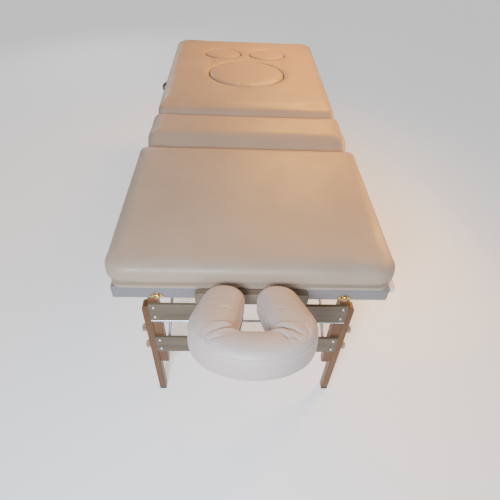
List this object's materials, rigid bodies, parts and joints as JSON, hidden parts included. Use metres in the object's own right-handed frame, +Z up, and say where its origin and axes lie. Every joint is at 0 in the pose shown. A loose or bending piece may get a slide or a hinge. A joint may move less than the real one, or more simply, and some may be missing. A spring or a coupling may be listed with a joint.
{
  "type": "portable massage table",
  "caption": "Folding padded treatment table with a lift-back head end, a horseshoe face cradle, removable plugs for belly and breasts, and height-adjustable wooden leg frames.",
  "frame": {"origin": "on the floor, under the fold line at the middle of the table, on its centre plane", "axes": "+Y runs from the head end (face cradle) to the foot end, +Z is up, +X is to the right when seen from the head end looking along the table"},
  "size_m": [0.808, 2.19, 0.7976],
  "materials": {
    "vinyl": "satin off-white PU vinyl with a fine leather grain",
    "rail_vinyl": "off-white PU vinyl pulled over the end rail",
    "beech": "clear satin lacquer over beech",
    "plywood": "sanded birch plywood",
    "steel": "bright zinc plated",
    "alloy": "satin anodised",
    "brass": "bright brass plated",
    "rubber": "moulded black rubber",
    "knob_plastic": "moulded tan plastic",
    "handle_leather": "dark brown grained strap",
    "catch_plastic": "moulded off-white plastic"
  },
  "bodies": {
    "head_half": {"head_end_rail": "rail_vinyl", "head_frame_rails": "beech", "head_brackets": "steel", "head_hinge_leaves": "brass", "head_carry_handle": "handle_leather", "middle_deck": "plywood", "middle_cushion": "vinyl", "back_hinge_fixed": "brass", "prop_racks": "beech", "latch_plates": "brass", "fold_hinge_pins": "brass"},
    "foot_half": {"foot_end_rail": "rail_vinyl", "foot_frame_rails": "beech", "foot_brackets": "steel", "foot_hinge_leaves": "brass", "foot_carry_handle": "handle_leather", "foot_deck": "plywood", "foot_cushion": "vinyl", "latch_strikes": "brass"},
    "head_legs": {"head_upper_legs": "beech", "head_leg_boards": "beech", "head_leg_hardware": "steel"},
    "head_stay_upper": {"head_stay_upper_links": "alloy"},
    "head_stay_lower": {"head_stay_lower_links": "alloy"},
    "head_left_leg": {"head_left_extension": "beech", "head_left_foot": "rubber"},
    "head_left_upper_knob_body": {"head_left_upper_knob": "knob_plastic"},
    "head_left_lower_knob_body": {"head_left_lower_knob": "knob_plastic"},
    "head_right_leg": {"head_right_extension": "beech", "head_right_foot": "rubber"},
    "head_right_upper_knob_body": {"head_right_upper_knob": "knob_plastic"},
    "head_right_lower_knob_body": {"head_right_lower_knob": "knob_plastic"},
    "foot_legs": {"foot_upper_legs": "beech", "foot_leg_boards": "beech", "foot_leg_hardware": "steel"},
    "foot_stay_upper": {"foot_stay_upper_links": "alloy"},
    "foot_stay_lower": {"foot_stay_lower_links": "alloy"},
    "foot_left_leg": {"foot_left_extension": "beech", "foot_left_foot": "rubber"},
    "foot_left_upper_knob_body": {"foot_left_upper_knob": "knob_plastic"},
    "foot_left_lower_knob_body": {"foot_left_lower_knob": "knob_plastic"},
    "foot_right_leg": {"foot_right_extension": "beech", "foot_right_foot": "rubber"},
    "foot_right_upper_knob_body": {"foot_right_upper_knob": "knob_plastic"},
    "foot_right_lower_knob_body": {"foot_right_lower_knob": "knob_plastic"},
    "back_section": {"back_deck": "plywood", "back_cushion": "vinyl", "back_hinge_moving": "brass"},
    "back_prop_frame": {"back_prop": "beech"},
    "cradle": {"cradle_posts": "alloy", "cradle_crosspiece": "beech"},
    "cradle_plate": {"cradle_platform": "plywood"},
    "cradle_lever_body": {"cradle_lever": "catch_plastic"},
    "face_pillow_body": {"face_pillow": "vinyl"},
    "belly_plug_body": {"belly_plug": "vinyl"},
    "left_breast_plug_body": {"left_breast_plug": "vinyl"},
    "right_breast_plug_body": {"right_breast_plug": "vinyl"},
    "left_latch_body": {"left_latch": "brass"},
    "right_latch_body": {"right_latch": "brass"},
    "back_catch_body": {"back_catch": "catch_plastic"}
  },
  "joints": [
    {"name": "table_fold", "type": "hinge", "parent": "head_half", "child": "foot_half", "pos_m": [0, 0, 0.594], "axis": [-1, 0, 0], "range_deg": [0, 100]},
    {"name": "head_leg_fold", "type": "hinge", "parent": "head_half", "child": "head_legs", "pos_m": [0, -0.85, 0.624], "axis": [1, 0, 0], "range_deg": [0, 90]},
    {"name": "head_stay_upper_fold", "type": "hinge", "parent": "head_half", "child": "head_stay_upper", "pos_m": [0, -0.075, 0.6165], "axis": [-1, 0, 0], "range_deg": [0, 25.29]},
    {"name": "head_stay_lower_fold", "type": "hinge", "parent": "head_legs", "child": "head_stay_lower", "pos_m": [0, -0.8575, 0.268], "axis": [1, 0, 0], "range_deg": [0, 62.65]},
    {"name": "head_left_leg_height", "type": "slide", "parent": "head_legs", "child": "head_left_leg", "axis": [0, 0, -1], "range_m": [-0.08, 0.1]},
    {"name": "head_left_upper_knob_turn", "type": "hinge", "parent": "head_legs", "child": "head_left_upper_knob_body", "pos_m": [-0.322, -0.85, 0.368], "axis": [-1, 0, 0], "continuous": true},
    {"name": "head_left_lower_knob_turn", "type": "hinge", "parent": "head_legs", "child": "head_left_lower_knob_body", "pos_m": [-0.322, -0.85, 0.278], "axis": [-1, 0, 0], "continuous": true},
    {"name": "head_right_leg_height", "type": "slide", "parent": "head_legs", "child": "head_right_leg", "axis": [0, 0, -1], "range_m": [-0.08, 0.1]},
    {"name": "head_right_upper_knob_turn", "type": "hinge", "parent": "head_legs", "child": "head_right_upper_knob_body", "pos_m": [0.322, -0.85, 0.368], "axis": [1, 0, 0], "continuous": true},
    {"name": "head_right_lower_knob_turn", "type": "hinge", "parent": "head_legs", "child": "head_right_lower_knob_body", "pos_m": [0.322, -0.85, 0.278], "axis": [1, 0, 0], "continuous": true},
    {"name": "foot_leg_fold", "type": "hinge", "parent": "foot_half", "child": "foot_legs", "pos_m": [0, 0.85, 0.624], "axis": [-1, 0, 0], "range_deg": [0, 90]},
    {"name": "foot_stay_upper_fold", "type": "hinge", "parent": "foot_half", "child": "foot_stay_upper", "pos_m": [0, 0.075, 0.6165], "axis": [1, 0, 0], "range_deg": [0, 25.29]},
    {"name": "foot_stay_lower_fold", "type": "hinge", "parent": "foot_legs", "child": "foot_stay_lower", "pos_m": [0, 0.8575, 0.268], "axis": [-1, 0, 0], "range_deg": [0, 62.65]},
    {"name": "foot_left_leg_height", "type": "slide", "parent": "foot_legs", "child": "foot_left_leg", "axis": [0, 0, -1], "range_m": [-0.08, 0.1]},
    {"name": "foot_left_upper_knob_turn", "type": "hinge", "parent": "foot_legs", "child": "foot_left_upper_knob_body", "pos_m": [-0.322, 0.85, 0.368], "axis": [-1, 0, 0], "continuous": true},
    {"name": "foot_left_lower_knob_turn", "type": "hinge", "parent": "foot_legs", "child": "foot_left_lower_knob_body", "pos_m": [-0.322, 0.85, 0.278], "axis": [-1, 0, 0], "continuous": true},
    {"name": "foot_right_leg_height", "type": "slide", "parent": "foot_legs", "child": "foot_right_leg", "axis": [0, 0, -1], "range_m": [-0.08, 0.1]},
    {"name": "foot_right_upper_knob_turn", "type": "hinge", "parent": "foot_legs", "child": "foot_right_upper_knob_body", "pos_m": [0.322, 0.85, 0.368], "axis": [1, 0, 0], "continuous": true},
    {"name": "foot_right_lower_knob_turn", "type": "hinge", "parent": "foot_legs", "child": "foot_right_lower_knob_body", "pos_m": [0.322, 0.85, 0.278], "axis": [1, 0, 0], "continuous": true},
    {"name": "back_lift", "type": "hinge", "parent": "head_half", "child": "back_section", "pos_m": [0, -0.265, 0.65], "axis": [-1, 0, 0], "range_deg": [0, 60]},
    {"name": "back_prop_swing", "type": "hinge", "parent": "back_section", "child": "back_prop_frame", "pos_m": [0, -0.545, 0.632], "axis": [1, 0, 0], "range_deg": [0, 120]},
    {"name": "cradle_slide", "type": "slide", "parent": "head_half", "child": "cradle", "axis": [0, -1, 0], "range_m": [0, 0.12]},
    {"name": "cradle_tilt", "type": "hinge", "parent": "cradle", "child": "cradle_plate", "pos_m": [0, -0.9667, 0.6088], "axis": [-1, 0, 0], "range_deg": [-45, 6]},
    {"name": "cradle_lever_swing", "type": "hinge", "parent": "cradle_plate", "child": "cradle_lever_body", "pos_m": [-0.084, -1.00716, 0.61544], "axis": [1, 0, 0], "range_deg": [0, 60]},
    {"name": "face_pillow_lift", "type": "slide", "parent": "cradle_plate", "child": "face_pillow_body", "axis": [0, 0, 1], "range_m": [0, 0.1]},
    {"name": "belly_plug_lift", "type": "slide", "parent": "foot_half", "child": "belly_plug_body", "axis": [0, 0, 1], "range_m": [0, 0.12]},
    {"name": "left_breast_plug_lift", "type": "slide", "parent": "foot_half", "child": "left_breast_plug_body", "axis": [0, 0, 1], "range_m": [0, 0.12]},
    {"name": "right_breast_plug_lift", "type": "slide", "parent": "foot_half", "child": "right_breast_plug_body", "axis": [0, 0, 1], "range_m": [0, 0.12]},
    {"name": "left_latch_turn", "type": "hinge", "parent": "head_half", "child": "left_latch_body", "pos_m": [-0.252, -0.925, 0.609], "axis": [0, 1, 0], "range_deg": [0, 90]},
    {"name": "right_latch_turn", "type": "hinge", "parent": "head_half", "child": "right_latch_body", "pos_m": [0.252, -0.925, 0.609], "axis": [0, -1, 0], "range_deg": [0, 90]},
    {"name": "back_catch_turn", "type": "hinge", "parent": "head_half", "child": "back_catch_body", "pos_m": [0.37, -0.886, 0.619], "axis": [1, 0, 0], "range_deg": [0, 90]}
  ],
  "couplings": [
    {"joint": "head_stay_upper_fold", "follows": "head_leg_fold", "ratio": 0.27988},
    {"joint": "head_stay_lower_fold", "follows": "head_leg_fold", "ratio": 0.69497},
    {"joint": "foot_stay_upper_fold", "follows": "foot_leg_fold", "ratio": 0.27988},
    {"joint": "foot_stay_lower_fold", "follows": "foot_leg_fold", "ratio": 0.69497},
    {"joint": "back_prop_swing", "follows": "back_lift", "ratio": 2}
  ]
}
